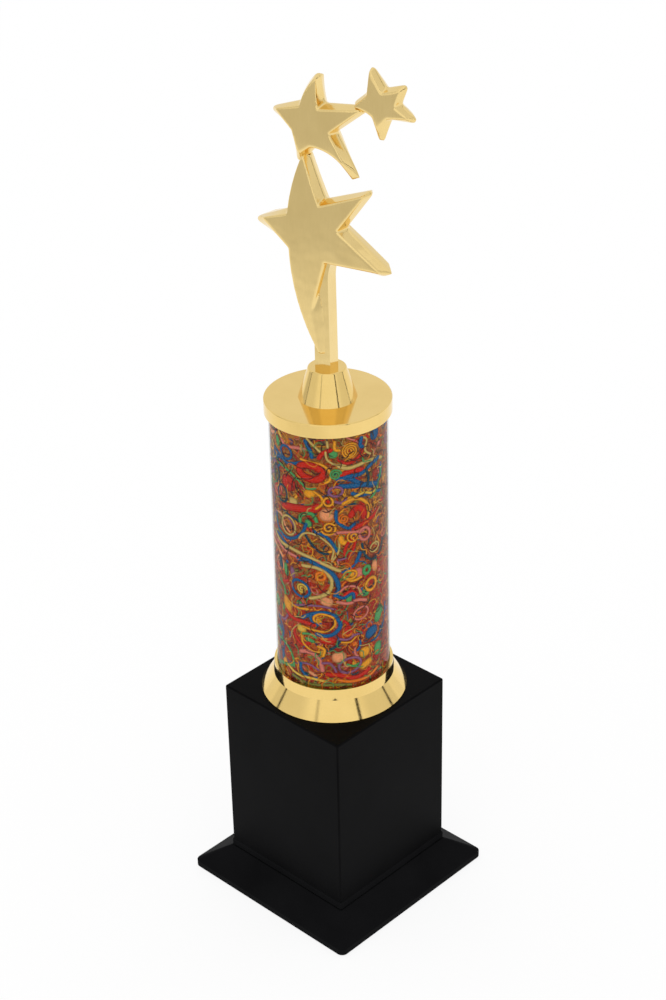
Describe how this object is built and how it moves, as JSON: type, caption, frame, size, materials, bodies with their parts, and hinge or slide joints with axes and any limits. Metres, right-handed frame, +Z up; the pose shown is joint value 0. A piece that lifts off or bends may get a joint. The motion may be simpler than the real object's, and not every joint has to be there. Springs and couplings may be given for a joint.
{
  "type": "column trophy",
  "caption": "Column trophy: sloped black plinth and square block, clear column over a swirl-patterned film, gold cups, and a gold figure of stars on a stem that unscrews.",
  "frame": {"origin": "centre of the plane that the four feet stand on", "axes": "+Z up along the column; the block's faces look along X and Y; the star figure's front looks along -Y turned 15 degrees toward +X"},
  "size_m": [0.121, 0.121, 0.4933],
  "materials": {
    "black_plastic": "satin black moulded plastic, fine matt texture on the skirt, semi-gloss on the block",
    "cast_iron": "rough casting",
    "brown_board": "pressed fibreboard, matt",
    "zinc_steel": "bright zinc-plated steel",
    "black_rubber": "matt rubber",
    "gold_metallised": "polished gold metallised surface, slight waviness and fine polish marks",
    "white_plastic": "natural moulded plastic",
    "clear_acrylic": "clear polished acrylic",
    "swirl_film": "printed film, many small coloured swirls on red-brown, gloss",
    "grey_card": "plain grey board, matt",
    "plain_brass": "turned brass"
  },
  "bodies": {
    "trophy": {"base_plinth": "black_plastic", "base_block": "black_plastic", "ballast_block": "cast_iron", "bottom_cover": "brown_board", "cover_screws": "zinc_steel", "rubber_feet": "black_rubber", "tie_rod": "zinc_steel", "bottom_washer": "zinc_steel", "bottom_nut": "zinc_steel", "lower_cup": "gold_metallised", "tube_lower_plug": "white_plastic", "tube_upper_plug": "white_plastic", "column_tube": "clear_acrylic", "column_print": "swirl_film", "column_core": "grey_card", "column_lid": "gold_metallised", "lid_washer": "zinc_steel", "lid_nut": "zinc_steel"},
    "insert": {"figure_insert": "plain_brass"},
    "figure": {"figure_cone": "gold_metallised", "figure_stem": "gold_metallised", "large_star": "gold_metallised", "middle_star": "gold_metallised", "small_star": "gold_metallised", "star_pin_lower": "zinc_steel", "star_pin_upper": "zinc_steel"}
  },
  "joints": [
    {"name": "figure_rise", "type": "slide", "parent": "trophy", "child": "insert", "axis": [0, 0, 1], "range_m": [0, 0.00677]},
    {"name": "figure_unscrew", "type": "hinge", "parent": "insert", "child": "figure", "pos_m": [0, 0, 0.3213], "axis": [0, 0, 1], "range_deg": [0, 1890]}
  ],
  "couplings": [
    {"joint": "figure_rise", "follows": "figure_unscrew", "m_per_rad": 0.00020213}
  ]
}
